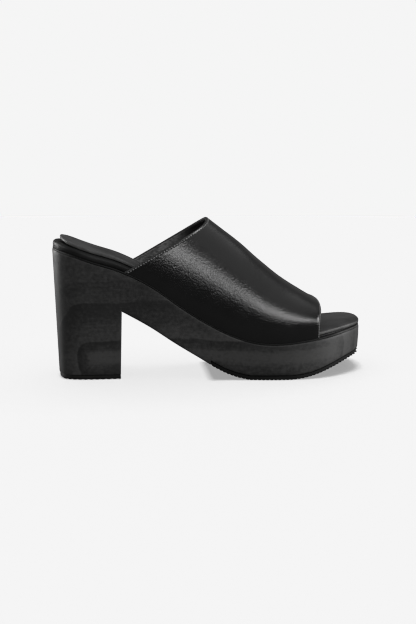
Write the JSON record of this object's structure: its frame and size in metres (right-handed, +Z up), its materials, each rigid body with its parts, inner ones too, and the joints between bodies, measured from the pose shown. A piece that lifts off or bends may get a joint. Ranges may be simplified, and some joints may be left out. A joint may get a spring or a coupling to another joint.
{
  "type": "platform mule",
  "caption": "Right-foot open-toe platform mule: carved wooden sole with block heel, rubber treads, wrapped footbed, sock insole and one broad leather vamp.",
  "frame": {"origin": "on the floor, under the middle of the shoe's box", "axes": "+X from heel to toe, +Y to the inner side of the foot, +Z up"},
  "size_m": [0.2404, 0.0866, 0.1198],
  "materials": {
    "stained_wood": "dark stained, satin, fine grain",
    "black_rubber": "matt moulded rubber",
    "wrap_leather": "smooth black leather, semi-gloss",
    "sock_leather": "fine-grained dark grey leather, satin",
    "vamp_leather": "pebbled black leather, semi-gloss"
  },
  "bodies": {
    "root": {"wooden_sole": "stained_wood", "heel_top_piece": "black_rubber", "forefoot_outsole": "black_rubber", "rand": "wrap_leather", "footbed": "wrap_leather", "insole": "sock_leather", "vamp": "vamp_leather"}
  },
  "joints": []
}
